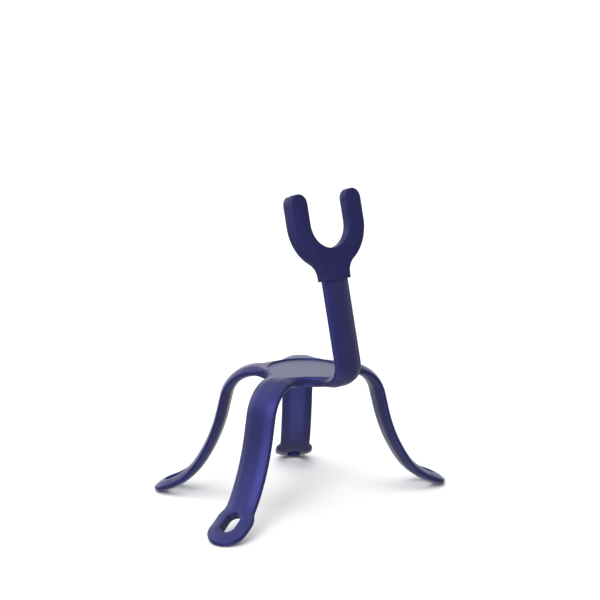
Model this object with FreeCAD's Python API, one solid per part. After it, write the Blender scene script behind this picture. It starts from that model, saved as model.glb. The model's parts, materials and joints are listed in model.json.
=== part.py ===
"""Flexible phone mount: a five-armed silicone star with bendable metal bands inside.

Millimetres. +Z is up, the hub's axis is the Z axis and the feet stand on z = 0.
The phone arm points along -Y and rises from the hub; the four legs bend down to the table.
Every arm is shaped in its own plane first, with X outward from the hub's axis, Y across the arm
and Z up from the hub's middle plane, and is then turned to its place.
"""
import FreeCAD
import Part
import math
import os
from FreeCAD import Vector

# Star: five equal arms around the hub
ARM_COUNT = 5
ARM_STEP = 360.0 / ARM_COUNT
PHONE_ARM_TURN = -90.0
LEG_NAMES = ["right_front", "right_rear", "left_rear", "left_front"]

# Strap, the section of every arm: flat faces with a bevel along each edge
STRAP_WIDTH = 16.8
STRAP_THICK = 5.6
BEVEL_WIDTH = 4.7
BEVEL_DROP = 1.6
ROOT_BEVEL = 0.6
BEVEL_GROWTH_ANGLE = 20.0

# Hub
WEB_RADIUS = 9.6
RECESS_DIAMETER = 39.4
RECESS_DEPTH = 0.9

# Leg: out of the hub, down over the root bend, then outward again to the foot
ROOT_BEND_RADIUS = 18.6
ROOT_BEND_ANGLE = 76.4
SHIN_LENGTH = 9.6
SWEEP_RADIUS = 91.0
SWEEP_ANGLE = 21.0
ANKLE_RADIUS = 33.5
ANKLE_ANGLE = 32.8

# Foot: the strap runs over a hollow fillet into a long round paddle with an oval slot
FOOT_OVERHANG = 2.1
FOOT_FILLET = 8.0
FOOT_SIDE_LENGTH = 0.9
SLOT_LENGTH = 14.0
SLOT_WIDTH = 7.8
SLOT_TO_TIP = 7.0

# Phone arm: out of the hub, up over a tight bend, then straight and leaning back
ARM_BEND_RADIUS = 9.5
ARM_LEAN_BACK = 13.8
ARM_STRAIGHT_LENGTH = 43.0

# Cradle: a fork that holds the neck of a phone grip
CRADLE_THICK = 7.0
CRADLE_SLOT_WIDTH = 26.0
CRADLE_PRONG_WIDTH = 10.5
CRADLE_PRONG_LENGTH = 11.0
CRADLE_NECK_LENGTH = 6.0
CRADLE_NECK_FILLET = 9.0
CRADLE_SEAT_DIAMETER = 41.0
CRADLE_SEAT_DEPTH = 2.2

# Skeleton: one flat band in each arm, welded onto a plate in the hub
BAND_WIDTH = 9.0
BAND_THICK = 1.0
BAND_ROOT_RADIUS = 6.6
BAND_TO_SLOT = 10.0
BAND_IN_CRADLE = 6.0
PLATE_REACH = 14.0
PLATE_THICK = 1.2

# Room left around the skeleton by the moulding
MOULD_CLEARANCE = 0.2

# Sizes that follow from the ones above
HALF_WIDTH = STRAP_WIDTH / 2
HALF_THICK = STRAP_THICK / 2
FOOT_RADIUS = HALF_WIDTH + FOOT_OVERHANG
WEB_ANGLE = math.radians(ARM_STEP / 2)
WEB_CENTRE_RADIUS = (HALF_WIDTH + WEB_RADIUS) / math.sin(WEB_ANGLE)
ROOT_RADIUS = (HALF_WIDTH + WEB_RADIUS) / math.tan(WEB_ANGLE)

# A path is a list of runs, each a length and the angle by which it turns down (in degrees)
ROOT_BEND_LENGTH = math.radians(ROOT_BEND_ANGLE) * ROOT_BEND_RADIUS
SWEEP_LENGTH = math.radians(SWEEP_ANGLE) * SWEEP_RADIUS
ANKLE_LENGTH = math.radians(ANKLE_ANGLE) * ANKLE_RADIUS
SOLE_LENGTH = FOOT_SIDE_LENGTH + FOOT_RADIUS
LEG_PATH = [
    (ROOT_BEND_LENGTH, ROOT_BEND_ANGLE),
    (SHIN_LENGTH, 0.0),
    (SWEEP_LENGTH, -SWEEP_ANGLE),
    (ANKLE_LENGTH, -ANKLE_ANGLE),
    (SOLE_LENGTH, 0.0),
]
ARM_RISE_ANGLE = 90.0 + ARM_LEAN_BACK
ARM_BEND_LENGTH = math.radians(ARM_RISE_ANGLE) * ARM_BEND_RADIUS
ARM_LENGTH = ARM_BEND_LENGTH + ARM_STRAIGHT_LENGTH
ARM_PATH = [
    (ARM_BEND_LENGTH, -ARM_RISE_ANGLE),
    (ARM_STRAIGHT_LENGTH, 0.0),
]
ROOT_SECTION = (HALF_WIDTH, ROOT_BEVEL, ROOT_BEVEL)
STRAP_SECTION = (HALF_WIDTH, BEVEL_WIDTH, BEVEL_DROP)
FOOT_SECTION = (FOOT_RADIUS, BEVEL_WIDTH, BEVEL_DROP)

# The foot's near round has the same middle as the slot's near end; the fillets touch it and the strap
LEG_LENGTH = sum(length for length, turn in LEG_PATH)
SLOT_START = LEG_LENGTH - SLOT_TO_TIP - SLOT_LENGTH
PADDLE_START = SLOT_START + SLOT_WIDTH / 2
FILLET_ACROSS = HALF_WIDTH + FOOT_FILLET
FILLET_TO_ROUND = math.sqrt((FOOT_RADIUS + FOOT_FILLET) ** 2 - FILLET_ACROSS ** 2)
FILLET_START = PADDLE_START - FILLET_TO_ROUND
FILLET_END = FILLET_START + FILLET_TO_ROUND * FOOT_FILLET / (FOOT_RADIUS + FOOT_FILLET)


def path_at(path, distance):
    """Point on the path's centre line and its direction, starting outward at the arm's root."""
    x, z, slope = ROOT_RADIUS, 0.0, 0.0
    for index, (length, turn) in enumerate(path):
        last = index == len(path) - 1
        step = distance if last else min(distance, length)
        bend = math.radians(turn) * step / length
        if abs(bend) < 1e-9:
            chord = step
        else:
            chord = 2 * step / bend * math.sin(bend / 2)
        x += chord * math.cos(slope + bend / 2)
        z -= chord * math.sin(slope + bend / 2)
        slope += bend
        distance -= step
        if distance <= 0 and not last:
            break
    along = Vector(math.cos(slope), 0, -math.sin(slope))
    upward = Vector(math.sin(slope), 0, math.cos(slope))
    return Vector(x, 0, z), along, upward


def section_corners(half_width, bevel_width, bevel_drop):
    """Right half of the strap's eight-sided section, from its lower to its upper face."""
    flat = half_width - bevel_width
    side = HALF_THICK - bevel_drop
    return [(flat, -HALF_THICK), (half_width, -side), (half_width, side), (flat, HALF_THICK)]


def section_at(path, distance, sizes):
    """Corners of the strap's whole section, square to its path."""
    centre, along, upward = path_at(path, distance)
    right = section_corners(*sizes)
    corners = right + [(-across, rise) for across, rise in reversed(right)]
    return [centre + Vector(0, across, 0) + upward * rise for across, rise in corners]


def closed(points):
    return Part.makePolygon(points + points[:1])


def flat_faced_run(path, stops):
    """Strap through a few sections, each given as its distance along the path and its sizes.

    The faces between the sections are flat, and one that would be twisted is folded along its diagonal.
    """
    rings = [section_at(path, distance, sizes) for distance, sizes in stops]
    outlines = [rings[0], rings[-1]]
    for ring, following in zip(rings, rings[1:]):
        for k in range(len(ring)):
            a, b, c, d = ring[k - 1], ring[k], following[k], following[k - 1]
            twist = abs((b - a).cross(d - a).dot(c - a))
            outlines += [[a, b, c, d]] if twist < 1e-6 else [[a, b, c], [a, c, d]]
    run = Part.Solid(Part.Shell([Part.Face(closed(outline)) for outline in outlines]))
    if run.Volume < 0:
        run.reverse()
    return run


def curved_run(path, start, end, sizes):
    """Strap of one section along one arc of its path."""
    spine = Part.Arc(*[path_at(path, d)[0] for d in (start, (start + end) / 2, end)]).toShape()
    sweep = Part.BRepOffsetAPI.MakePipeShell(Part.Wire([spine]))
    sweep.add(closed(section_at(path, start, sizes)))
    sweep.build()
    sweep.makeSolid()
    return sweep.shape()


def foot_end():
    """Round end of the foot: half the section turned about the middle of the round."""
    centre, along, upward = path_at(LEG_PATH, LEG_LENGTH - FOOT_RADIUS)
    corners = [(0, -HALF_THICK)] + section_corners(*FOOT_SECTION) + [(0, HALF_THICK)]
    points = [centre + Vector(0, across, 0) + upward * rise for across, rise in corners]
    return Part.Face(closed(points)).revolve(centre, upward * -1, 180)


def arm_root(path):
    """First bend of an arm: the bevel grows to its full size just past the hub."""
    length, turn = path[0]
    grown = length * BEVEL_GROWTH_ANGLE / abs(turn)
    middle_section = [(first + last) / 2 for first, last in zip(ROOT_SECTION, STRAP_SECTION)]
    growth = [(0, ROOT_SECTION), (grown / 2, middle_section), (grown, STRAP_SECTION)]
    return [flat_faced_run(path, growth), curved_run(path, grown, length, STRAP_SECTION)]


def flare_section(distance):
    """Section of a leg between its strap and the full width of its foot."""
    if distance < FILLET_END:
        half_width = FILLET_ACROSS - math.sqrt(FOOT_FILLET ** 2 - (distance - FILLET_START) ** 2)
    else:
        half_width = math.sqrt(FOOT_RADIUS ** 2 - (distance - PADDLE_START) ** 2)
    return (half_width, BEVEL_WIDTH, BEVEL_DROP)


def leg_strap():
    """One leg in one piece, without its slot and the room for its band."""
    sweep_start = ROOT_BEND_LENGTH + SHIN_LENGTH
    ankle_start = sweep_start + SWEEP_LENGTH
    sole_start = ankle_start + ANKLE_LENGTH
    round_start = sole_start + FOOT_SIDE_LENGTH
    swell_middle = (FILLET_END + PADDLE_START) / 2
    paddle_middle = (PADDLE_START + sole_start) / 2
    paddle = [(d, flare_section(d)) for d in (FILLET_START, FILLET_END, swell_middle)]
    paddle += [(d, FOOT_SECTION) for d in (PADDLE_START, paddle_middle, sole_start, round_start)]
    runs = arm_root(LEG_PATH) + [
        flat_faced_run(LEG_PATH, [(d, STRAP_SECTION) for d in (ROOT_BEND_LENGTH, sweep_start)]),
        curved_run(LEG_PATH, sweep_start, ankle_start, STRAP_SECTION),
        curved_run(LEG_PATH, ankle_start, FILLET_START, STRAP_SECTION),
        flat_faced_run(LEG_PATH, paddle),
        foot_end(),
    ]
    return runs[0].fuse(runs[1:]).removeSplitter()


def foot_slot():
    """Oval slot through the foot, square to it at the slot's middle."""
    centre, along, upward = path_at(LEG_PATH, SLOT_START + SLOT_LENGTH / 2)
    reach = (SLOT_LENGTH - SLOT_WIDTH) / 2
    depth = STRAP_THICK + SLOT_LENGTH
    half = SLOT_WIDTH / 2
    across = Vector(0, 1, 0)
    corner = [centre + along * a + across * b for a, b in
              ((-reach, -half), (reach, -half), (reach, half), (-reach, half))]
    far_end = centre + along * (reach + half)
    near_end = centre - along * (reach + half)
    outline = Part.Wire([
        Part.makeLine(corner[0], corner[1]),
        Part.Arc(corner[1], far_end, corner[2]).toShape(),
        Part.makeLine(corner[2], corner[3]),
        Part.Arc(corner[3], near_end, corner[0]).toShape(),
    ])
    face = Part.Face(outline)
    face.translate(upward * (-depth / 2))
    return face.extrude(upward * depth)


def side_point(path, distance, offset):
    """Point above or below an arm's path, also on the straight stretch inside the hub."""
    if distance < 0:
        return Vector(ROOT_RADIUS + distance, 0, offset)
    centre, along, upward = path_at(path, distance)
    return centre + upward * offset


def strip(outline, width):
    """Solid strip of the given width over a side outline."""
    face = Part.Face(outline)
    face.translate(Vector(0, -width / 2, 0))
    return face.extrude(Vector(0, width, 0))


def side_edges(path, stops, offset):
    """Line or arc over each run of a path, at an offset above it."""
    edges = []
    for start, end in zip(stops, stops[1:]):
        first, middle, last = (side_point(path, d, offset) for d in (start, (start + end) / 2, end))
        bow = (middle - (first + last) * 0.5).Length
        edges.append(Part.makeLine(first, last) if bow < 1e-6 else Part.Arc(first, middle, last).toShape())
    return edges


def band(path, end):
    """Bendable band of one arm, from its weld on the hub's plate."""
    stops = [BAND_ROOT_RADIUS - ROOT_RADIUS, 0.0]
    for length, turn in path[:-1]:
        stops.append(stops[-1] + length)
    stops = [d for d in stops if d < end] + [end]
    half = BAND_THICK / 2
    edges = side_edges(path, stops, half) + side_edges(path, stops, -half)
    edges += [Part.makeLine(side_point(path, d, -half), side_point(path, d, half)) for d in (stops[0], end)]
    return strip(Part.Wire(Part.__sortEdges__(edges)), BAND_WIDTH)


def band_room(path, end):
    """Room for a band in the moulding, of flats that bow from its path by less than half the clearance."""
    start = BAND_ROOT_RADIUS - ROOT_RADIUS - MOULD_CLEARANCE
    end = end + MOULD_CLEARANCE
    breaks = [0.0]
    for length, turn in path[:-1]:
        bend = math.radians(abs(turn))
        pieces = math.ceil(math.sqrt(length * bend / (4 * MOULD_CLEARANCE))) if bend else 1
        breaks += [breaks[-1] + length / pieces * (k + 1) for k in range(pieces)]
    stops = [start] + [d for d in breaks if d < end] + [end]
    half = BAND_THICK / 2 + MOULD_CLEARANCE
    upper = [side_point(path, d, half) for d in stops]
    lower = [side_point(path, d, -half) for d in reversed(stops)]
    return strip(closed(upper + lower), BAND_WIDTH + 2 * MOULD_CLEARANCE)


def leg_band_end():
    return SLOT_START - BAND_TO_SLOT


def arm_band_end():
    return ARM_LENGTH + BAND_IN_CRADLE


def make_leg():
    cover = leg_strap().cut(foot_slot())
    return cover.cut(band_room(LEG_PATH, leg_band_end()))


def make_phone_arm():
    growth, bend = arm_root(ARM_PATH)
    rise = flat_faced_run(ARM_PATH, [(d, STRAP_SECTION) for d in (ARM_BEND_LENGTH, ARM_LENGTH)])
    cover = growth.fuse([bend, rise]).removeSplitter()
    return cover.cut(band_room(ARM_PATH, arm_band_end()))


def make_hub():
    """Flat star between the roots of the arms, with a round recess in its top."""
    edges = []
    for k in range(ARM_COUNT):
        turn = FreeCAD.Rotation(Vector(0, 0, 1), PHONE_ARM_TURN + k * ARM_STEP)
        following = FreeCAD.Rotation(Vector(0, 0, 1), PHONE_ARM_TURN + (k + 1) * ARM_STEP)
        half_way = FreeCAD.Rotation(Vector(0, 0, 1), PHONE_ARM_TURN + (k + 0.5) * ARM_STEP)
        right = turn.multVec(Vector(ROOT_RADIUS, -HALF_WIDTH, 0))
        left = turn.multVec(Vector(ROOT_RADIUS, HALF_WIDTH, 0))
        web = half_way.multVec(Vector(WEB_CENTRE_RADIUS - WEB_RADIUS, 0, 0))
        next_right = following.multVec(Vector(ROOT_RADIUS, -HALF_WIDTH, 0))
        edges.append(Part.makeLine(right, left))
        edges.append(Part.Arc(left, web, next_right).toShape())
    face = Part.Face(Part.Wire(edges))
    face.translate(Vector(0, 0, -HALF_THICK))
    star = face.extrude(Vector(0, 0, STRAP_THICK))
    rims = [e for e in star.Edges if isinstance(e.Curve, Part.Circle) and e.CenterOfMass.z > 0]
    star = star.makeChamfer(ROOT_BEVEL, rims)
    recess = Part.makeCylinder(RECESS_DIAMETER / 2, RECESS_DEPTH, Vector(0, 0, HALF_THICK - RECESS_DEPTH))
    return star.cut(recess)


def make_plate(clearance=0.0):
    """Five-sided plate under the roots of the bands, one side square to each arm."""
    corner_radius = (PLATE_REACH + clearance) / math.cos(WEB_ANGLE)
    bottom = -BAND_THICK / 2 - PLATE_THICK - clearance
    corners = []
    for k in range(ARM_COUNT):
        turn = math.radians(PHONE_ARM_TURN + (k + 0.5) * ARM_STEP)
        corners.append(Vector(corner_radius * math.cos(turn), corner_radius * math.sin(turn), bottom))
    return Part.Face(closed(corners)).extrude(Vector(0, 0, PLATE_THICK + 2 * clearance))


def make_cradle():
    """Fork at the top of the phone arm: a round-bottomed slot between two prongs on a neck.

    It is drawn flat, with X up along the arm, Y across and Z towards the phone, and its neck starts at X = 0.
    """
    slot_radius = CRADLE_SLOT_WIDTH / 2
    outer_radius = slot_radius + CRADLE_PRONG_WIDTH
    slot_centre = CRADLE_NECK_LENGTH + outer_radius
    prong_end = slot_centre + CRADLE_PRONG_LENGTH
    tip_radius = CRADLE_PRONG_WIDTH / 2
    tip_middle = slot_radius + tip_radius
    fillet = CRADLE_NECK_FILLET
    fillet_across = HALF_WIDTH + fillet
    fillet_along = slot_centre - math.sqrt((outer_radius + fillet) ** 2 - fillet_across ** 2)
    to_body = math.atan2(slot_centre - fillet_along, -fillet_across)
    meet = Vector(fillet_along + fillet * math.sin(to_body), fillet_across + fillet * math.cos(to_body), 0)
    mid_angle = (math.pi + to_body) / 2
    middle = Vector(fillet_along + fillet * math.sin(mid_angle), fillet_across + fillet * math.cos(mid_angle))
    side_angle = (math.atan2(meet.y, meet.x - slot_centre) + math.pi / 2) / 2
    side = Vector(slot_centre + outer_radius * math.cos(side_angle), outer_radius * math.sin(side_angle), 0)
    left = [
        Part.makeLine(Vector(0, HALF_WIDTH, 0), Vector(fillet_along, HALF_WIDTH, 0)),
        Part.Arc(Vector(fillet_along, HALF_WIDTH, 0), middle, meet).toShape(),
        Part.Arc(meet, side, Vector(slot_centre, outer_radius, 0)).toShape(),
        Part.makeLine(Vector(slot_centre, outer_radius, 0), Vector(prong_end, outer_radius, 0)),
        Part.Arc(Vector(prong_end, outer_radius, 0), Vector(prong_end + tip_radius, tip_middle, 0),
                 Vector(prong_end, slot_radius, 0)).toShape(),
        Part.makeLine(Vector(prong_end, slot_radius, 0), Vector(slot_centre, slot_radius, 0)),
    ]
    right = [e.mirror(Vector(0, 0, 0), Vector(0, 1, 0)) for e in left]
    slot_bottom = Part.Arc(Vector(slot_centre, slot_radius, 0), Vector(slot_centre - slot_radius, 0, 0),
                           Vector(slot_centre, -slot_radius, 0)).toShape()
    foot_line = Part.makeLine(Vector(0, -HALF_WIDTH, 0), Vector(0, HALF_WIDTH, 0))
    outline = Part.Wire(Part.__sortEdges__(left + right + [slot_bottom, foot_line]))
    face = Part.Face(outline)
    face.translate(Vector(0, 0, -CRADLE_THICK / 2))
    fork = face.extrude(Vector(0, 0, CRADLE_THICK))
    if fork.Volume < 0:
        fork.reverse()
    pocket_length = BAND_IN_CRADLE + MOULD_CLEARANCE
    pocket_width = BAND_WIDTH + 2 * MOULD_CLEARANCE
    pocket_thick = BAND_THICK + 2 * MOULD_CLEARANCE
    pocket = Part.makeBox(pocket_length, pocket_width, pocket_thick,
                          Vector(0, -pocket_width / 2, -pocket_thick / 2))
    rear = -CRADLE_THICK / 2
    seat = Part.makeCylinder(CRADLE_SEAT_DIAMETER / 2, CRADLE_SEAT_DEPTH, Vector(slot_centre, 0, rear))
    mouth = Part.makeBox(CRADLE_PRONG_LENGTH + outer_radius, CRADLE_SEAT_DIAMETER, CRADLE_SEAT_DEPTH,
                         Vector(slot_centre, -CRADLE_SEAT_DIAMETER / 2, rear))
    fork = fork.cut([pocket, seat, mouth])
    return fork.removeSplitter()


def cradle_place():
    """Where the cradle's flat drawing goes: on the end of the phone arm, facing the phone."""
    seat, along, upward = path_at(ARM_PATH, ARM_LENGTH)
    return FreeCAD.Placement(seat, FreeCAD.Rotation(along, Vector(0, -1, 0), upward * -1, "XYZ"))


def hub_height():
    """Height of the hub's middle plane that puts the lowest point of a foot on the table."""
    return -leg_strap().optimalBoundingBox(False).ZMin


def turned(shape, turn, height):
    placed = shape.copy()
    placed.rotate(Vector(0, 0, 0), Vector(0, 0, 1), turn)
    placed.translate(Vector(0, 0, height))
    return placed


def main():
    os.makedirs("parts", exist_ok=True)
    height = hub_height()
    arm_turns = [PHONE_ARM_TURN + k * ARM_STEP for k in range(ARM_COUNT)]
    leg_turns = dict(zip(LEG_NAMES, arm_turns[1:]))
    leg = make_leg()
    leg_band = band(LEG_PATH, leg_band_end())
    arm_band = band(ARM_PATH, arm_band_end())
    parts = {}
    for name, turn in leg_turns.items():
        parts["leg_" + name] = turned(leg, turn, height)
        parts["leg_band_" + name] = turned(leg_band, turn, height)
    parts["phone_arm"] = turned(make_phone_arm(), PHONE_ARM_TURN, height)
    parts["arm_band"] = turned(arm_band, PHONE_ARM_TURN, height)
    cradle = make_cradle()
    cradle.transformShape(cradle_place().toMatrix())
    parts["phone_cradle"] = turned(cradle, PHONE_ARM_TURN, height)

    hub = make_hub().cut(make_plate(MOULD_CLEARANCE))
    root_room = band_room(ARM_PATH, 0)
    for turn in arm_turns:
        hub = hub.cut(turned(root_room, turn, 0))
    parts["hub"] = turned(hub, 0, height)
    parts["hub_plate"] = turned(make_plate(), 0, height)

    for name, shape in parts.items():
        shape.exportStep("parts/" + name + ".step")


main()
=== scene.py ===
"""Looks of the flexible phone mount: fine meshes, finishes, stage, light and camera.

Metres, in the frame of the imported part: +Z is up, the feet stand on z = 0 and the phone arm is at -Y.
Every arm is shaped along its own path first: s along the path, t across it, n out of its face.
"""

import json
import math

import bmesh
import bpy
import numpy as np
from mathutils import Matrix, Vector


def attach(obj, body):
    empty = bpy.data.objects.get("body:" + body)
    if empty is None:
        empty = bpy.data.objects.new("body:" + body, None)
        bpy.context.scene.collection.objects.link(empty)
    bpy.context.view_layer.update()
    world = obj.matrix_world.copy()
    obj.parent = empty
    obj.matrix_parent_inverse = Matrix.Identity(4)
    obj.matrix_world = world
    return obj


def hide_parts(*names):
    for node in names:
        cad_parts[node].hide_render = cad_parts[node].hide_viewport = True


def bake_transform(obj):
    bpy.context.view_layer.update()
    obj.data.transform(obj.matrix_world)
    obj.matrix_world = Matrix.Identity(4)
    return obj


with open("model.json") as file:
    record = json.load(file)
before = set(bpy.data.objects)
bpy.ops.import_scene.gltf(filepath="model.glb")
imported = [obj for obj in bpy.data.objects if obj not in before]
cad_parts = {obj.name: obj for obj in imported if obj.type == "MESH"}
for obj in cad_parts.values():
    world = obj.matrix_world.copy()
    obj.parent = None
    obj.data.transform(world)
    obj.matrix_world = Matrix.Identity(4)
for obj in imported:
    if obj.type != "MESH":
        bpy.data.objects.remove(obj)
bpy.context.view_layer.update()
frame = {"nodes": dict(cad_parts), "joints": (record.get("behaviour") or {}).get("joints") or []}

MM = 0.001

# Strap, the section of every arm
HALF_WIDTH = 8.4 * MM
HALF_THICK = 2.8 * MM
BEVEL_WIDTH = 4.7 * MM
BEVEL_DROP = 1.6 * MM
ROOT_BEVEL = 0.6 * MM
EDGE_ROUND = 0.8 * MM
BEVEL_SOFTNESS = 0.5 * MM
BEVEL_START = -6.5 * MM
BEVEL_GROWTH_LENGTH = 7.5 * MM
PARTING_HALF_WIDTH = 0.4 * MM
PARTING_DEPTH = 0.45 * MM

# Leg path and foot; angles in degrees
ROOT_BEND_RADIUS = 18.6 * MM
ROOT_BEND_ANGLE = 76.4
SHIN_LENGTH = 9.6 * MM
SWEEP_RADIUS = 91.0 * MM
SWEEP_ANGLE = 21.0
ANKLE_RADIUS = 33.5 * MM
ANKLE_ANGLE = 32.8
FOOT_RADIUS = 10.5 * MM
FOOT_SIDE_LENGTH = 0.9 * MM
FOOT_FILLET = 8.0 * MM
SLOT_LENGTH = 14.0 * MM
SLOT_RADIUS = 3.9 * MM
SLOT_TO_TIP = 7.0 * MM
SLOT_ROUND = 0.6 * MM

# Phone arm
ARM_BEND_RADIUS = 9.5 * MM
ARM_LEAN_BACK = 13.8
ARM_STRAIGHT_LENGTH = 43.0 * MM

# Hub
ARM_COUNT = 5
WEB_RADIUS = 9.6 * MM
RECESS_RADIUS = 19.7 * MM
RECESS_DEPTH = 0.9 * MM
RECESS_ROUND = 0.42 * MM

# Cradle
CRADLE_THICK = 7.0 * MM
CRADLE_SLOT_RADIUS = 13.0 * MM
CRADLE_PRONG_WIDTH = 10.5 * MM
CRADLE_PRONG_LENGTH = 11.0 * MM
CRADLE_NECK_LENGTH = 6.0 * MM
CRADLE_NECK_FILLET = 9.0 * MM
CRADLE_EDGE_ROUND = 0.9 * MM
CRADLE_SEAT_RADIUS = 20.5 * MM
CRADLE_SEAT_DEPTH = 2.2 * MM

# Skeleton
BAND_HALF_WIDTH = 4.5 * MM
BAND_HALF_THICK = 0.5 * MM
BAND_EDGE = 0.15 * MM
BAND_ROOT_RADIUS = 6.6 * MM
BAND_TO_SLOT = 10.0 * MM

# Fineness of the meshes; the two angles, in degrees, say from where an edge is rounded or stays sharp
COLUMNS = 26
ROW_STEP = 0.7 * MM
ROUND_STEPS = 24
WEB_STEPS = 28
RECESS_ROUND_STEPS = 4
RECESS_FLOOR_RINGS = 6
RECESS_FLOOR_SPAN = (0.2, 0.95)
CRADLE_ROUND_SEGMENTS = 4
ROUNDED_FROM = 35.0
SHARP_FROM = 40.0
WELD = 1e-7

# Arm: the length of its last stretch, below the cradle, which is a piece of its own
TILT_BEND_REACH = 18.0 * MM

# Finishes: pairs of colours and of roughness, each led by a noise with a scale in features per metre
COLOUR_NOISE_SPAN = (0.35, 0.65)
GLOSS_NOISE_SPAN = (0.3, 0.7)
SILICONE_COLOURS = ((0.0138, 0.0135, 0.062), (0.0156, 0.0153, 0.069))
SILICONE_ROUGHNESS = (0.36, 0.44)
SILICONE_SPECULAR = 0.8
SILICONE_TINT = (0.22, 0.25, 1.0, 1.0)
SILICONE_SHEEN = 0.12
SILICONE_SHEEN_ROUGHNESS = 0.5
SILICONE_CLOUDS = dict(scale=90.0, detail=3.0)
SILICONE_SKIN = dict(scale=1600.0, detail=4.0)
SILICONE_RELIEF = dict(strength=0.12, distance=0.03 * MM)
PLASTIC_COLOURS = ((0.0145, 0.0142, 0.064), (0.0165, 0.0162, 0.072))
PLASTIC_ROUGHNESS = (0.46, 0.58)
PLASTIC_TINT = (0.3, 0.33, 1.0, 1.0)
PLASTIC_CLOUDS = dict(scale=120.0, detail=2.0)
PLASTIC_GRAIN = dict(scale=2600.0, detail=2.0)
PLASTIC_RELIEF = dict(strength=0.25, distance=0.04 * MM)
BAND_COLOURS = ((0.62, 0.63, 0.64), (0.72, 0.73, 0.74))
BAND_ROUGHNESS = (0.32, 0.44)
PLATE_COLOURS = ((0.46, 0.47, 0.48), (0.56, 0.57, 0.58))
PLATE_ROUGHNESS = (0.36, 0.48)
METAL_MARKS = dict(scale=700.0, detail=5.0, stretch=(1.0, 1.0, 12.0))
METAL_RELIEF = dict(strength=0.15, distance=0.02 * MM)
FLOOR_COLOURS = ((0.925, 0.925, 0.93), (0.94, 0.94, 0.945))
FLOOR_ROUGHNESS = 0.7
FLOOR_SPECULAR = 0.2
FLOOR_CLOUDS = dict(scale=6.0, detail=2.0)

# Stage and lights; angles in degrees
FLOOR_HALF_SIZE = 40000.0 * MM
LIT_POINT = Vector((0.0, 0.0, 60.0)) * MM
LIGHT_DISTANCE = 1200.0 * MM
OVERHEAD_LIGHT = dict(azimuth=-60.0, elevation=66.0, strength=3.2, softness=110.0)
KEY_LIGHT = dict(azimuth=-62.0, elevation=30.0, width=350.0 * MM, height=1100.0 * MM, power=6.5)
RIM_LIGHT = dict(azimuth=205.0, elevation=20.0, width=600.0 * MM, height=900.0 * MM, power=3.5)

# Surroundings: each glow rises between two levels while the cosine to its direction crosses its span
WHITE = (1.0, 1.0, 1.0, 1.0)
BACKDROP_AZIMUTH = 139.0
BACKDROP_ELEVATION = 0.0
BACKDROP_SPAN = (0.55, 0.96)
BACKDROP_LEVELS = (0.11, 1.35)
UNDER_AZIMUTH = -31.0
UNDER_ELEVATION = -48.0
UNDER_SPAN = (0.8, 0.98)
UNDER_LEVELS = (0.0, 2.2)

# Camera, at the photograph's viewing angle
CAMERA_AZIMUTH = -40.794
CAMERA_ELEVATION = 11.915
CAMERA_DISTANCE = 872.22 * MM
CAMERA_TARGET = Vector((-1.70, 1.47, 110.37)) * MM
CAMERA_LENS = 99.47
CAMERA_SENSOR = 36.0

# Places that the frame gives
JOINTS = {joint["name"]: joint for joint in frame["joints"]}
LEG_NAMES = [
    name.removeprefix("bend_") for name in JOINTS if name.startswith("bend_") and "arm" not in name
]
ROOT_PLACE = Vector(JOINTS["bend_phone_arm"]["pos_m"])
ROOT_RADIUS = ROOT_PLACE.xy.length
HUB_HEIGHT = ROOT_PLACE.z
PHONE_ARM_TURN = math.atan2(ROOT_PLACE.y, ROOT_PLACE.x)
ARM_TURNS = [PHONE_ARM_TURN + k * math.tau / ARM_COUNT for k in range(ARM_COUNT)]
HALF_STEP = math.pi / ARM_COUNT
WEB_CENTRE_RADIUS = ROOT_RADIUS / math.cos(HALF_STEP)

# Paths, as the length and the downward turn of each stretch
ROOT_BEND_LENGTH = math.radians(ROOT_BEND_ANGLE) * ROOT_BEND_RADIUS
SWEEP_LENGTH = math.radians(SWEEP_ANGLE) * SWEEP_RADIUS
ANKLE_LENGTH = math.radians(ANKLE_ANGLE) * ANKLE_RADIUS
ARM_RISE_ANGLE = 90.0 + ARM_LEAN_BACK
ARM_BEND_LENGTH = math.radians(ARM_RISE_ANGLE) * ARM_BEND_RADIUS
LEG_PATH = [
    (ROOT_BEND_LENGTH, ROOT_BEND_ANGLE),
    (SHIN_LENGTH, 0.0),
    (SWEEP_LENGTH, -SWEEP_ANGLE),
    (ANKLE_LENGTH, -ANKLE_ANGLE),
    (FOOT_SIDE_LENGTH + FOOT_RADIUS, 0.0),
]
ARM_PATH = [
    (ARM_BEND_LENGTH, -ARM_RISE_ANGLE),
    (ARM_STRAIGHT_LENGTH, 0.0),
]
LEG_LENGTH = sum(length for length, turn in LEG_PATH)
ARM_LENGTH = sum(length for length, turn in ARM_PATH)

# Foot: its slot, its long round outline, and the hollow fillets where the strap runs into it
SLOT_REACH = SLOT_LENGTH / 2 - SLOT_RADIUS
SLOT_MIDDLE = LEG_LENGTH - SLOT_TO_TIP - SLOT_LENGTH / 2
SLOT_NEAR_CENTRE = SLOT_MIDDLE - SLOT_REACH
SLOT_FAR_CENTRE = SLOT_MIDDLE + SLOT_REACH
FOOT_NEAR_CENTRE = SLOT_NEAR_CENTRE
FOOT_FAR_CENTRE = LEG_LENGTH - FOOT_RADIUS
FILLET_ACROSS = HALF_WIDTH + FOOT_FILLET
FILLET_SPAN = math.sqrt((FOOT_RADIUS + FOOT_FILLET) ** 2 - FILLET_ACROSS ** 2)
FILLET_START = FOOT_NEAR_CENTRE - FILLET_SPAN
FILLET_END = FOOT_NEAR_CENTRE - FILLET_SPAN * FOOT_RADIUS / (FOOT_RADIUS + FOOT_FILLET)

# Parting groove round the edge: its three points' steps inward and heights
GROOVE_IN = np.array([0.0, 1.0, 0.0]) * PARTING_DEPTH
GROOVE_N = np.array([1.0, 0.0, -1.0]) * PARTING_HALF_WIDTH

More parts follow.
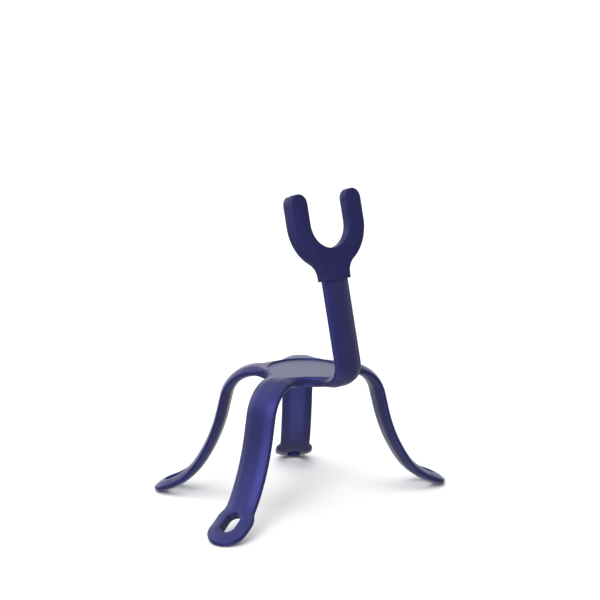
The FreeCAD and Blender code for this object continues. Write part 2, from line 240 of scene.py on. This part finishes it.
# Fork of the cradle, from the arm's end upward
CRADLE_OUTER_RADIUS = CRADLE_SLOT_RADIUS + CRADLE_PRONG_WIDTH
CRADLE_CENTRE = CRADLE_NECK_LENGTH + CRADLE_OUTER_RADIUS


def smooth_step(value):
    value = np.clip(value, 0.0, 1.0)
    return value * value * (3 - 2 * value)


def smooth_min(a, b, softness):
    """Lower of two values, with a soft passage from one to the other."""
    closeness = np.clip(1 - np.abs(a - b) / softness, 0.0, 1.0)
    return np.minimum(a, b) - closeness * closeness * softness / 4


def cosine_steps(count):
    """Steps from 0 to 1 that lie closer together towards both ends."""
    return (1 - np.cos(np.linspace(0, math.pi, count + 1))) / 2


def pairs(s, t):
    return np.stack([s, t], axis=-1)


def path_at(path, s):
    """Points of the centre line (x outward, z up from the hub's middle) and its slope downward."""
    before = np.minimum(s, 0.0)
    rest = s - before
    x = ROOT_RADIUS + before
    z = np.zeros_like(s)
    slope = np.zeros_like(s)
    for index, (length, turn) in enumerate(path):
        step = rest if index == len(path) - 1 else np.minimum(rest, length)
        bend = math.radians(turn) * step / length
        chord = step * np.sinc(bend / 2 / math.pi)
        x = x + chord * np.cos(slope + bend / 2)
        z = z - chord * np.sin(slope + bend / 2)
        slope = slope + bend
        rest = rest - step
    return x, z, slope


def on_arm(path, turn, s, t, n):
    """Places of points given along an arm's path, in the part's frame."""
    outward, height, slope = path_at(path, s)
    outward = outward + n * np.sin(slope)
    height = height + n * np.cos(slope) + HUB_HEIGHT
    x = outward * math.cos(turn) - t * math.sin(turn)
    y = outward * math.sin(turn) + t * math.cos(turn)
    return np.stack([x, y, height], axis=-1)


def edge_fillet(distance, radius):
    """How far a face sinks towards its edge where the edge is rounded."""
    share = 1 - np.clip(distance / radius, 0.0, 1.0)
    return radius * (1 - np.sqrt(np.clip(1 - share * share, 0.0, 1.0)))


def cover_height(edge, growth):
    """Half thickness at a distance from the moulding's edge, for a share of the full bevel."""
    width = ROOT_BEVEL + (BEVEL_WIDTH - ROOT_BEVEL) * growth
    drop = ROOT_BEVEL + (BEVEL_DROP - ROOT_BEVEL) * growth
    softness = BEVEL_SOFTNESS * drop / BEVEL_DROP
    bevel = HALF_THICK - drop + np.maximum(edge, 0.0) * drop / width
    return smooth_min(bevel, HALF_THICK, softness) - edge_fillet(edge, EDGE_ROUND)


def bevel_growth(s):
    """Share of the full bevel at a distance along an arm; it starts a little inside the hub."""
    return smooth_step((s - BEVEL_START) / BEVEL_GROWTH_LENGTH)


def arm_half_width(s):
    return np.full_like(s, HALF_WIDTH)


def leg_half_width(s):
    """Half width of a leg: its strap, the hollow fillet, the foot's near round and its sides."""
    hollow = FILLET_ACROSS - np.sqrt(np.maximum(FOOT_FILLET ** 2 - (s - FILLET_START) ** 2, 0.0))
    swell = np.sqrt(np.maximum(FOOT_RADIUS ** 2 - (s - FOOT_NEAR_CENTRE) ** 2, 0.0))
    stretches = [s < FILLET_START, s < FILLET_END, s < FOOT_NEAR_CENTRE]
    return np.select(stretches, [HALF_WIDTH, hollow, swell], FOOT_RADIUS)


def leg_edge_distance(s, t):
    """Distance from a leg's outline, with its widened foot and round end."""
    across = np.abs(t)
    hollow = np.hypot(s - FILLET_START, FILLET_ACROSS - across) - FOOT_FILLET
    near = FOOT_RADIUS - np.hypot(s - FOOT_NEAR_CENTRE, across)
    far = FOOT_RADIUS - np.hypot(s - FOOT_FAR_CENTRE, across)
    hollow_end = FOOT_NEAR_CENTRE - FILLET_SPAN * across / FILLET_ACROSS
    stretches = [s < FILLET_START, s < hollow_end, s < FOOT_NEAR_CENTRE, s < FOOT_FAR_CENTRE]
    return np.select(stretches, [HALF_WIDTH - across, hollow, near, FOOT_RADIUS - across], far)


def leg_height(s, t):
    """Half thickness of a leg, with a rounded rim at its slot."""
    face = cover_height(leg_edge_distance(s, t), bevel_growth(s))
    beyond = np.maximum(np.abs(s - SLOT_MIDDLE) - SLOT_REACH, 0.0)
    to_slot = np.maximum(np.hypot(beyond, t) - SLOT_RADIUS, 0.0)
    return face - edge_fillet(to_slot, SLOT_ROUND)


def arm_height(s, t):
    """Half thickness of the phone arm."""
    return cover_height(HALF_WIDTH - np.abs(t), bevel_growth(s))


def plain_rows(start, end, half_width_at):
    """Rows straight across an arm, from its middle to its outline, as (s, t) pairs."""
    count = max(2, round((end - start) / ROW_STEP))
    s = np.linspace(start, end, count + 1)
    return pairs(s, np.zeros_like(s)), pairs(s, half_width_at(s))


def leg_rows():
    """Rows of a leg from its root to its tip; from the slot on, they start at the slot's rim."""
    inner, outer = plain_rows(0.0, SLOT_NEAR_CENTRE - SLOT_RADIUS, leg_half_width)
    closed_rows = len(inner) - 1
    quarter = np.linspace(0, math.pi / 2, ROUND_STEPS + 1)
    rising, falling = np.sin(quarter), np.cos(quarter)
    near_s = SLOT_NEAR_CENTRE - SLOT_RADIUS * falling
    near_rim = pairs(near_s, SLOT_RADIUS * rising)
    near_side = pairs(near_s, leg_half_width(near_s))
    side_steps = np.linspace(0, 1, ROUND_STEPS // 2 + 1)
    rim_s = SLOT_NEAR_CENTRE + (SLOT_FAR_CENTRE - SLOT_NEAR_CENTRE) * side_steps
    side_s = SLOT_NEAR_CENTRE + (FOOT_FAR_CENTRE - SLOT_NEAR_CENTRE) * side_steps
    straight_rim = pairs(rim_s, np.full_like(rim_s, SLOT_RADIUS))
    straight_side = pairs(side_s, leg_half_width(side_s))
    far_rim = pairs(SLOT_FAR_CENTRE + SLOT_RADIUS * rising, SLOT_RADIUS * falling)
    far_side = pairs(FOOT_FAR_CENTRE + FOOT_RADIUS * rising, FOOT_RADIUS * falling)
    inner = np.concatenate([inner, near_rim[1:], straight_rim[1:], far_rim[1:]])
    outer = np.concatenate([outer, near_side[1:], straight_side[1:], far_side[1:]])
    return inner, outer, closed_rows


def half_sections(inner, outer, height_at):
    """Right half of the strap's section in every row: over the top, round the edge and back below."""
    share = cosine_steps(COLUMNS)[None, :, None]
    flat = inner[:, None, :] + (outer - inner)[:, None, :] * share
    s, t = flat[..., 0], flat[..., 1]
    n = height_at(s, t)
    inward = inner - outer
    inward = inward / np.maximum(np.linalg.norm(inward, axis=1, keepdims=True), WELD)
    edge_s = s[:, -1:] + inward[:, :1] * GROOVE_IN
    edge_t = t[:, -1:] + inward[:, 1:] * GROOVE_IN
    edge_n = np.tile(GROOVE_N, (len(inner), 1))
    s = np.concatenate([s, edge_s, s[:, ::-1]], axis=1)
    t = np.concatenate([t, edge_t, t[:, ::-1]], axis=1)
    n = np.concatenate([n, edge_n, -n[:, ::-1]], axis=1)
    return s, t, n


def grid_faces(rows, columns, first=0):
    """Quads of a grid of vertices that is numbered row by row."""
    faces = []
    for row in range(rows - 1):
        for column in range(columns - 1):
            corner = first + row * columns + column
            faces.append((corner, corner + 1, corner + columns + 1, corner + columns))
    return faces


def mesh_object(name, points, faces):
    """Object from points and faces, welded and facing outward."""
    mesh = bpy.data.meshes.new(name)
    mesh.from_pydata([tuple(point) for point in points], [], faces)
    work = bmesh.new()
    work.from_mesh(mesh)
    bmesh.ops.remove_doubles(work, verts=work.verts, dist=WELD)
    bmesh.ops.dissolve_degenerate(work, edges=work.edges, dist=WELD)
    bmesh.ops.recalc_face_normals(work, faces=work.faces)
    work.to_mesh(mesh)
    work.free()
    piece = bpy.data.objects.new(name, mesh)
    bpy.context.scene.collection.objects.link(piece)
    return piece


def give_surface(piece, material):
    """Makes a piece smooth except at its sharp edges, and gives it its material."""
    piece.data.shade_smooth()
    piece.data.set_sharp_from_angle(angle=math.radians(SHARP_FROM))
    piece.data.materials.append(material)
    return piece


def strap_piece(name, path, turn, rows, height_at, material, slot_from=None, far_cap=False):
    """One arm's cover: both halves of every row, the slot's walls and the caps at its ends."""
    inner, outer = rows
    s, t, n = half_sections(inner, outer, height_at)
    row_count, ring = s.shape
    points, faces = [], []
    for side in (1, -1):
        first = len(points)
        points.extend(on_arm(path, turn, s.ravel(), side * t.ravel(), n.ravel()))
        faces.extend(grid_faces(row_count, ring, first))
        if slot_from is not None:
            for row in range(slot_from, row_count - 1):
                top = first + row * ring
                faces.append((top, top + ring, top + 2 * ring - 1, top + ring - 1))
    left = row_count * ring
    caps = [0, row_count - 1] if far_cap else [0]
    for row in caps:
        right_ring = [row * ring + k for k in range(ring)]
        left_ring = [left + row * ring + k for k in range(1, ring - 1)]
        faces.append(tuple(right_ring + left_ring[::-1]))
    return give_surface(mesh_object(name, points, faces), material)


def web_centre(turn):
    """Centre of the round web between an arm and the next one."""
    half_way = turn + HALF_STEP
    return WEB_CENTRE_RADIUS * np.array([math.cos(half_way), math.sin(half_way)])


def web_distance(x, y):
    """Distance from the hub's rounded outline between its arms."""
    nearest = np.full_like(x, np.inf)
    for turn in ARM_TURNS:
        centre_x, centre_y = web_centre(turn)
        nearest = np.minimum(nearest, np.hypot(x - centre_x, y - centre_y))
    return nearest - WEB_RADIUS


def distance_past_root(x, y):
    """How far out along the nearest arm a point lies, counted from the arm's root."""
    furthest = np.full_like(x, -np.inf)
    for turn in ARM_TURNS:
        furthest = np.maximum(furthest, x * math.cos(turn) + y * math.sin(turn))
    return furthest - ROOT_RADIUS


def hub_outline():
    """Points round the hub, each with its direction into the moulding, zero within an arm's root."""
    steps = cosine_steps(COLUMNS)
    across = HALF_WIDTH * np.concatenate([-steps[::-1], steps[1:]])
    half_span = math.pi / 2 - HALF_STEP
    outline, inward = [], []
    for turn in ARM_TURNS:
        out = np.array([math.cos(turn), math.sin(turn)])
        side = np.array([-math.sin(turn), math.cos(turn)])
        for t in across:
            outline.append(out * ROOT_RADIUS + side * t)
            on_edge = abs(abs(t) - HALF_WIDTH) < WELD
            inward.append(-side * np.sign(t) if on_edge else np.zeros(2))
        to_middle = turn + HALF_STEP + math.pi
        angles = np.linspace(to_middle + half_span, to_middle - half_span, WEB_STEPS + 1)
        for angle in angles[1:-1]:
            ray = np.array([math.cos(angle), math.sin(angle)])
            outline.append(web_centre(turn) + WEB_RADIUS * ray)
            inward.append(ray)
    return np.array(outline), np.array(inward)


def recess_profile():
    """Radius and height of the recess's rings: its floor, its step and the lip at the top face."""
    floor_r = RECESS_RADIUS * np.linspace(*RECESS_FLOOR_SPAN, RECESS_FLOOR_RINGS)
    floor_n = np.full_like(floor_r, HALF_THICK - RECESS_DEPTH)
    quarter = np.linspace(0, math.pi / 2, RECESS_ROUND_STEPS + 1)
    step_r = RECESS_RADIUS - RECESS_ROUND + RECESS_ROUND * np.sin(quarter)
    step_n = HALF_THICK - RECESS_DEPTH + RECESS_ROUND * (1 - np.cos(quarter))
    lip_r = RECESS_RADIUS + RECESS_ROUND * (1 - np.cos(quarter))
    lip_n = HALF_THICK - RECESS_ROUND + RECESS_ROUND * np.sin(quarter)
    return np.concatenate([floor_r, step_r, lip_r]), np.concatenate([floor_n, step_n, lip_n])


def hub_rings(outline):
    """Places of the hub's rings, from its middle to its outline, and the heights of its two faces."""
    ray_length = np.linalg.norm(outline, axis=1, keepdims=True)
    rays = outline / ray_length
    recess_r, recess_n = recess_profile()
    land_start = recess_r[-1]
    land_r = land_start + (ray_length - land_start) * cosine_steps(COLUMNS)[1:]
    reach = np.concatenate([np.tile(recess_r, (len(outline), 1)), land_r], axis=1)
    x, y = reach * rays[:, :1], reach * rays[:, 1:]
    under_n = cover_height(web_distance(x, y), bevel_growth(distance_past_root(x, y)))
    top_n = under_n.copy()
    top_n[:, :len(recess_r)] = recess_n
    return x, y, top_n, -under_n


def hub_piece(material):
    """The flat star: recessed top, rounded webs with the parting groove, and a plain underside."""
    outline, inward = hub_outline()
    count = len(outline)
    x, y, top_n, under_n = hub_rings(outline)
    wall = outline[:, None, :] + inward[:, None, :] * GROOVE_IN[:, None]
    x = np.concatenate([x, wall[..., 0], x[:, ::-1]], axis=1)
    y = np.concatenate([y, wall[..., 1], y[:, ::-1]], axis=1)
    n = np.concatenate([top_n, np.tile(GROOVE_N, (count, 1)), under_n[:, ::-1]], axis=1)
    ring = x.shape[1]
    points = list(np.stack([x, y, n + HUB_HEIGHT], axis=-1).reshape(-1, 3))
    top_middle = len(points)
    points.append((0.0, 0.0, HUB_HEIGHT + HALF_THICK - RECESS_DEPTH))
    points.append((0.0, 0.0, HUB_HEIGHT - HALF_THICK))
    faces = []
    for row in range(count):
        this, following = row * ring, (row + 1) % count * ring
        for column in range(ring - 1):
            faces.append((this + column, this + column + 1, following + column + 1, following + column))
        faces.append((top_middle, this, following))
        faces.append((top_middle + 1, following + ring - 1, this + ring - 1))
    return give_surface(mesh_object("hub_moulding", points, faces), material)


def band_piece(name, path, turn, end, material):
    """Bendable band inside an arm, a flat strip with slightly broken edges."""
    start = BAND_ROOT_RADIUS - ROOT_RADIUS
    s_rows = np.linspace(start, end, round((end - start) / ROW_STEP) + 1)
    wide, thick, edge = BAND_HALF_WIDTH, BAND_HALF_THICK, BAND_EDGE
    quarter = [(wide - edge, thick), (wide, thick - edge)]
    lower = [(t, -n) for t, n in reversed(quarter)]
    section = quarter + lower + [(-t, -n) for t, n in quarter] + [(-t, -n) for t, n in lower]
    ring = len(section) + 1
    closed = np.array(section + section[:1])
    s = np.repeat(s_rows, ring)
    t = np.tile(closed[:, 0], len(s_rows))
    n = np.tile(closed[:, 1], len(s_rows))
    points = on_arm(path, turn, s, t, n)
    faces = grid_faces(len(s_rows), ring)
    last = (len(s_rows) - 1) * ring
    faces.append(tuple(range(ring - 1)))
    faces.append(tuple(last + k for k in range(ring - 1)))
    return give_surface(mesh_object(name, points, faces), material)


def arc_points(centre, radius, start, end, count=ROUND_STEPS):
    """Points along an arc in the cradle's flat drawing; angles in degrees from across towards up."""
    angles = np.radians(np.linspace(start, end, count + 1))
    return [(centre[0] + radius * math.sin(a), centre[1] + radius * math.cos(a)) for a in angles]


def cradle_outline():
    """Fork outline as (up, across) points, starting at the neck's right corner and going round it."""
    prong_end = CRADLE_CENTRE + CRADLE_PRONG_LENGTH
    tip = CRADLE_PRONG_WIDTH / 2
    fillet_across = HALF_WIDTH + CRADLE_NECK_FILLET
    fillet_drop = math.sqrt((CRADLE_OUTER_RADIUS + CRADLE_NECK_FILLET) ** 2 - fillet_across ** 2)
    fillet_centre = (CRADLE_CENTRE - fillet_drop, fillet_across)
    meet = math.degrees(math.atan2(fillet_drop, fillet_across))
    right = [(0.0, HALF_WIDTH)]
    right += arc_points(fillet_centre, CRADLE_NECK_FILLET, 180, 180 - meet)
    right += arc_points((CRADLE_CENTRE, 0.0), CRADLE_OUTER_RADIUS, -meet, 0)
    right += arc_points((prong_end, CRADLE_SLOT_RADIUS + tip), tip, 0, 180)
    right += arc_points((CRADLE_CENTRE, 0.0), CRADLE_SLOT_RADIUS, 0, -90)
    left = [(up, -across) for up, across in reversed(right[:-1])]
    return right + left


def seat_outline():
    """Outline of the seat for a round disc: round below, open at the top."""
    above = CRADLE_CENTRE + CRADLE_PRONG_LENGTH + CRADLE_PRONG_WIDTH
    lower = arc_points((CRADLE_CENTRE, 0.0), CRADLE_SEAT_RADIUS, 0, -180, 2 * ROUND_STEPS)
    return lower + [(above, -CRADLE_SEAT_RADIUS), (above, CRADLE_SEAT_RADIUS)]


def cradle_matrix(turn):
    """From the cradle's flat drawing (up, across, towards its front) to its place on the arm's end."""
    x, z, slope = (float(v[0]) for v in path_at(ARM_PATH, np.array([ARM_LENGTH])))
    along = Vector((math.cos(slope), 0.0, -math.sin(slope)))
    front = Vector((-math.sin(slope), 0.0, -math.cos(slope)))
    local = Matrix((along, (0.0, -1.0, 0.0), front)).transposed().to_4x4()
    local.translation = (x, 0.0, z)
    return Matrix.Translation((0.0, 0.0, HUB_HEIGHT)) @ Matrix.Rotation(turn, 4, "Z") @ local


def prism(name, outline, low, high):
    """Closed prism over a flat outline, as a new object."""
    count = len(outline)
    points = [(a, b, low) for a, b in outline] + [(a, b, high) for a, b in outline]
    faces = [tuple(range(count))[::-1], tuple(range(count, 2 * count))]
    for k in range(count):
        after = (k + 1) % count
        faces.append((k, after, count + after, count + k))
    return mesh_object(name, points, faces)


def apply_modifiers(piece):
    bpy.context.view_layer.update()
    done = piece.evaluated_get(bpy.context.evaluated_depsgraph_get())
    piece.data = bpy.data.meshes.new_from_object(done)
    piece.modifiers.clear()


def cradle_piece(turn, material):
    """Fork with rounded edges and the seat sunk into its rear face."""
    half = CRADLE_THICK / 2
    fork = prism("phone_cradle_shell", cradle_outline(), -half, half)
    cutter = prism("seat_cutter", seat_outline(), -half - CRADLE_SEAT_DEPTH, -half + CRADLE_SEAT_DEPTH)
    cut = fork.modifiers.new("seat", "BOOLEAN")
    cut.operation = "DIFFERENCE"
    cut.object = cutter
    rounding = fork.modifiers.new("rounding", "BEVEL")
    rounding.width = CRADLE_EDGE_ROUND
    rounding.segments = CRADLE_ROUND_SEGMENTS
    rounding.limit_method = "ANGLE"
    rounding.angle_limit = math.radians(ROUNDED_FROM)
    rounding.harden_normals = True
    apply_modifiers(fork)
    bpy.data.objects.remove(cutter)
    fork.data.transform(cradle_matrix(turn))
    return give_surface(fork, material)


def new_material(name):
    """A material with its node tree and its shader."""
    material = bpy.data.materials.new(name)
    material.use_nodes = True
    return material, material.node_tree, material.node_tree.nodes["Principled BSDF"]


def noise(tree, scale, detail, stretch=(1.0, 1.0, 1.0)):
    """Noise over the piece's own place, with the given number of features per metre."""
    place = tree.nodes.new("ShaderNodeTexCoord")
    mapping = tree.nodes.new("ShaderNodeMapping")
    mapping.inputs["Scale"].default_value = stretch
    texture = tree.nodes.new("ShaderNodeTexNoise")
    texture.inputs["Scale"].default_value = scale
    texture.inputs["Detail"].default_value = detail
    tree.links.new(place.outputs["Object"], mapping.inputs["Vector"])
    tree.links.new(mapping.outputs["Vector"], texture.inputs["Vector"])
    return texture


def map_range(tree, source, span, levels):
    """Number that goes from one level to another while its source crosses a span."""
    mapped = tree.nodes.new("ShaderNodeMapRange")
    mapped.inputs["From Min"].default_value = span[0]
    mapped.inputs["From Max"].default_value = span[1]
    mapped.inputs["To Min"].default_value = levels[0]
    mapped.inputs["To Max"].default_value = levels[1]
    tree.links.new(source, mapped.inputs["Value"])
    return mapped


def lead_colour(tree, shader, source, colours):
    """Leads the base colour from one colour to another by a noise."""
    ramp = tree.nodes.new("ShaderNodeValToRGB")
    for stop, position, colour in zip(ramp.color_ramp.elements, COLOUR_NOISE_SPAN, colours):
        stop.position = position
        stop.color = (*colour, 1.0)
    tree.links.new(source.outputs["Fac"], ramp.inputs["Fac"])
    tree.links.new(ramp.outputs["Color"], shader.inputs["Base Color"])


def lead_gloss(tree, shader, source, roughness):
    """Leads the roughness from one value to another by a noise."""
    gloss = map_range(tree, source.outputs["Fac"], GLOSS_NOISE_SPAN, roughness)
    tree.links.new(gloss.outputs["Result"], shader.inputs["Roughness"])


def add_relief(tree, shader, source, strength, distance):
    """Fine relief from a noise."""
    relief = tree.nodes.new("ShaderNodeBump")
    relief.inputs["Strength"].default_value = strength
    relief.inputs["Distance"].default_value = distance
    tree.links.new(source.outputs["Fac"], relief.inputs["Height"])
    tree.links.new(relief.outputs["Normal"], shader.inputs["Normal"])


def silicone_material():
    """Satin navy silicone: faintly clouded colour, and a very fine skin in its gloss and relief."""
    material, tree, shader = new_material("silicone_navy")
    lead_colour(tree, shader, noise(tree, **SILICONE_CLOUDS), SILICONE_COLOURS)
    skin = noise(tree, **SILICONE_SKIN)
    lead_gloss(tree, shader, skin, SILICONE_ROUGHNESS)
    add_relief(tree, shader, skin, **SILICONE_RELIEF)
    shader.inputs["Specular IOR Level"].default_value = SILICONE_SPECULAR
    shader.inputs["Specular Tint"].default_value = SILICONE_TINT
    shader.inputs["Sheen Weight"].default_value = SILICONE_SHEEN
    shader.inputs["Sheen Roughness"].default_value = SILICONE_SHEEN_ROUGHNESS
    return material


def plastic_material():
    """Matte navy plastic with a fine moulded grain."""
    material, tree, shader = new_material("plastic_navy")
    lead_colour(tree, shader, noise(tree, **PLASTIC_CLOUDS), PLASTIC_COLOURS)
    grain = noise(tree, **PLASTIC_GRAIN)
    lead_gloss(tree, shader, grain, PLASTIC_ROUGHNESS)
    add_relief(tree, shader, grain, **PLASTIC_RELIEF)
    shader.inputs["Specular Tint"].default_value = PLASTIC_TINT
    return material


def metal_material(name, colours, roughness):
    """Sheet metal with fine rolling marks."""
    material, tree, shader = new_material(name)
    marks = noise(tree, **METAL_MARKS)
    lead_colour(tree, shader, marks, colours)
    lead_gloss(tree, shader, marks, roughness)
    add_relief(tree, shader, marks, **METAL_RELIEF)
    shader.inputs["Metallic"].default_value = 1.0
    return material


def floor_material():
    """Pale, matte and very faintly clouded."""
    material, tree, shader = new_material("pale_floor")
    lead_colour(tree, shader, noise(tree, **FLOOR_CLOUDS), FLOOR_COLOURS)
    shader.inputs["Roughness"].default_value = FLOOR_ROUGHNESS
    shader.inputs["Specular IOR Level"].default_value = FLOOR_SPECULAR
    return material


def dress_hub(cover_material, plate_material):
    """The hub's moulding, and the finish of the plate inside it."""
    hub = hub_piece(cover_material)
    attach(hub, "hub")
    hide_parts("hub")
    plate = frame["nodes"]["hub_plate"]
    plate.data.materials.clear()
    plate.data.materials.append(plate_material)


def dress_leg(name, cover_material, band_material):
    """One leg's cover and band."""
    root = Vector(JOINTS["bend_" + name]["pos_m"])
    turn = math.atan2(root.y, root.x)
    inner, outer, closed_rows = leg_rows()
    cover = strap_piece("leg_cover_" + name, LEG_PATH, turn, (inner, outer), leg_height, cover_material,
                        slot_from=closed_rows)
    band_end = SLOT_MIDDLE - SLOT_LENGTH / 2 - BAND_TO_SLOT
    band = band_piece("leg_spine_" + name, LEG_PATH, turn, band_end, band_material)
    for piece, node, slot in ((cover, "leg_", "silicone"), (band, "leg_band_", "band_metal")):
        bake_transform(piece)
        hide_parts(node + name)


def dress_arm(cover_material, band_material, cradle_material):
    """The phone arm with its band and cradle; its cover is in two stretches, the last one below the cradle.
    """
    turn = PHONE_ARM_TURN
    split = ARM_LENGTH - TILT_BEND_REACH
    lower_rows = plain_rows(0.0, split, arm_half_width)
    upper_rows = plain_rows(split, ARM_LENGTH, arm_half_width)
    lower = strap_piece("phone_arm_lower", ARM_PATH, turn, lower_rows, arm_height, cover_material)
    upper = strap_piece("phone_arm_upper", ARM_PATH, turn, upper_rows, arm_height, cover_material,
                        far_cap=True)
    band = band_piece("phone_arm_spine", ARM_PATH, turn, ARM_LENGTH - TILT_BEND_REACH / 2, band_material)
    cradle = cradle_piece(turn, cradle_material)
    for piece in (lower, band):
        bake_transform(piece)
    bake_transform(upper)
    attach(cradle, "cradle")
    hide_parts("phone_arm")
    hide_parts("arm_band")
    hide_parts("phone_cradle")


def add_floor():
    """Wide floor at z = 0. The object mirrors the lights and the surroundings, but not the floor."""
    size = FLOOR_HALF_SIZE
    mesh = bpy.data.meshes.new("floor")
    corners = [(-size, -size, 0.0), (size, -size, 0.0), (size, size, 0.0), (-size, size, 0.0)]
    mesh.from_pydata(corners, [], [(0, 1, 2, 3)])
    mesh.materials.append(floor_material())
    floor = bpy.data.objects.new("floor", mesh)
    bpy.context.scene.collection.objects.link(floor)
    floor.visible_glossy = False


def direction(azimuth, elevation):
    """Unit vector away from the object; azimuth 0 is towards -Y, and it grows towards +X."""
    azimuth, elevation = math.radians(azimuth), math.radians(elevation)
    level = math.cos(elevation)
    return Vector((math.sin(azimuth) * level, -math.cos(azimuth) * level, math.sin(elevation)))


def place_light(name, data, azimuth, elevation):
    """Puts a light in a direction from the object, facing it."""
    light = bpy.data.objects.new(name, data)
    out = direction(azimuth, elevation)
    light.location = LIT_POINT + out * LIGHT_DISTANCE
    light.rotation_euler = (-out).to_track_quat("-Z", "Y").to_euler()
    bpy.context.scene.collection.objects.link(light)


def add_softbox(name, azimuth, elevation, width, height, power):
    data = bpy.data.lights.new(name, "AREA")
    data.shape = "RECTANGLE"
    data.size = width
    data.size_y = height
    data.energy = power
    place_light(name, data, azimuth, elevation)


def add_overhead(azimuth, elevation, strength, softness):
    """Wide, even light from above, which reaches the whole floor."""
    data = bpy.data.lights.new("overhead", "SUN")
    data.energy = strength
    data.angle = math.radians(softness)
    place_light("overhead", data, azimuth, elevation)


def glow(tree, towards, span, levels):
    """Level of the surroundings, which rises as a direction nears the given one."""
    outward = tree.nodes.new("ShaderNodeTexCoord")
    nearness = tree.nodes.new("ShaderNodeVectorMath")
    nearness.operation = "DOT_PRODUCT"
    nearness.inputs[1].default_value = towards
    tree.links.new(outward.outputs["Generated"], nearness.inputs[0])
    level = map_range(tree, nearness.outputs["Value"], span, levels)
    level.interpolation_type = "SMOOTHSTEP"
    return level.outputs["Result"]


def studio_world():
    """Soft surroundings: bright behind the object, dim in front, with a glow from below in front.

    The floor hides the lower glow, which is seen only in the object's gloss.
    """
    world = bpy.data.worlds.new("studio")
    world.use_nodes = True
    tree = world.node_tree
    to_backdrop = direction(BACKDROP_AZIMUTH, BACKDROP_ELEVATION)
    to_under = direction(UNDER_AZIMUTH, UNDER_ELEVATION)
    both = tree.nodes.new("ShaderNodeMath")
    both.operation = "ADD"
    tree.links.new(glow(tree, to_backdrop, BACKDROP_SPAN, BACKDROP_LEVELS), both.inputs[0])
    tree.links.new(glow(tree, to_under, UNDER_SPAN, UNDER_LEVELS), both.inputs[1])
    background = tree.nodes["Background"]
    background.inputs["Color"].default_value = WHITE
    tree.links.new(both.outputs["Value"], background.inputs["Strength"])
    bpy.context.scene.world = world


def add_lights():
    add_overhead(**OVERHEAD_LIGHT)
    add_softbox("key", **KEY_LIGHT)
    add_softbox("rim", **RIM_LIGHT)
    studio_world()


def add_camera():
    back = direction(CAMERA_AZIMUTH, CAMERA_ELEVATION)
    data = bpy.data.cameras.new("camera")
    data.lens = CAMERA_LENS
    data.sensor_width = CAMERA_SENSOR
    camera = bpy.data.objects.new("camera", data)
    camera.location = CAMERA_TARGET + back * CAMERA_DISTANCE
    camera.rotation_mode = "QUATERNION"
    camera.rotation_quaternion = (-back).to_track_quat("-Z", "Y")
    bpy.context.scene.collection.objects.link(camera)
    bpy.context.scene.camera = camera


silicone = silicone_material()
band_metal = metal_material("band_metal", BAND_COLOURS, BAND_ROUGHNESS)
plate_steel = metal_material("plate_steel", PLATE_COLOURS, PLATE_ROUGHNESS)
dress_hub(silicone, plate_steel)
for leg_name in LEG_NAMES:
    dress_leg(leg_name, silicone, band_metal)
dress_arm(silicone, band_metal, plastic_material())
add_floor()
add_lights()
add_camera()
bpy.context.scene.view_settings.view_transform = "Standard"
